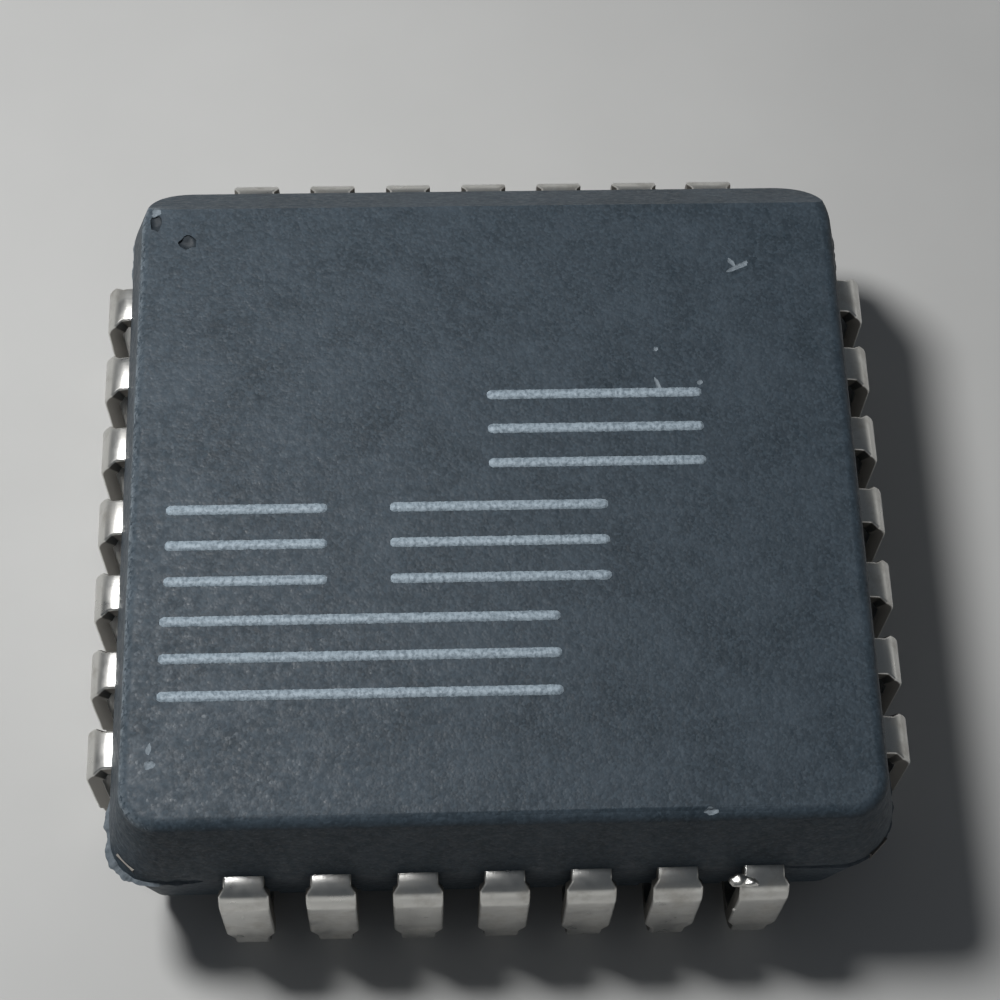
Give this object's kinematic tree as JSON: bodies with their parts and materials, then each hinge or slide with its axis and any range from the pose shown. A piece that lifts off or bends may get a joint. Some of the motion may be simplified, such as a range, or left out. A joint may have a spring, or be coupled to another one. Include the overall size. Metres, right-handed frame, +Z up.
{
  "type": "plcc chip",
  "caption": "Square plastic leaded chip carrier with J-shaped leads rolled under all four sides, a bevelled first-pin edge and a die on a lead frame sealed inside.",
  "frame": {"origin": "centre of the footprint on the seating plane, under the lead feet", "axes": "+Z up through the top face, +Y towards the bevelled first-pin side, +X towards pins 19 to 25"},
  "size_m": [0.0124, 0.0124, 0.0044],
  "materials": {
    "moulding": "matt, finely sand-grained black-grey epoxy moulding compound",
    "lead_finish": "satin bright tin plating on copper alloy",
    "frame_metal": "bare copper alloy sheet",
    "attach_film": "silver-filled epoxy",
    "silicon": "polished silicon",
    "bond_wire": "gold wire"
  },
  "bodies": {
    "root": {"moulded_body": "moulding", "die_pad": "frame_metal", "die_attach": "attach_film", "die": "silicon", "bond_wires": "bond_wire", "lead_01": "lead_finish", "lead_02": "lead_finish", "lead_03": "lead_finish", "lead_04": "lead_finish", "lead_05": "lead_finish", "lead_06": "lead_finish", "lead_07": "lead_finish", "lead_08": "lead_finish", "lead_09": "lead_finish", "lead_10": "lead_finish", "lead_11": "lead_finish", "lead_12": "lead_finish", "lead_13": "lead_finish", "lead_14": "lead_finish", "lead_15": "lead_finish", "lead_16": "lead_finish", "lead_17": "lead_finish", "lead_18": "lead_finish", "lead_19": "lead_finish", "lead_20": "lead_finish", "lead_21": "lead_finish", "lead_22": "lead_finish", "lead_23": "lead_finish", "lead_24": "lead_finish", "lead_25": "lead_finish", "lead_26": "lead_finish", "lead_27": "lead_finish", "lead_28": "lead_finish"}
  },
  "joints": []
}
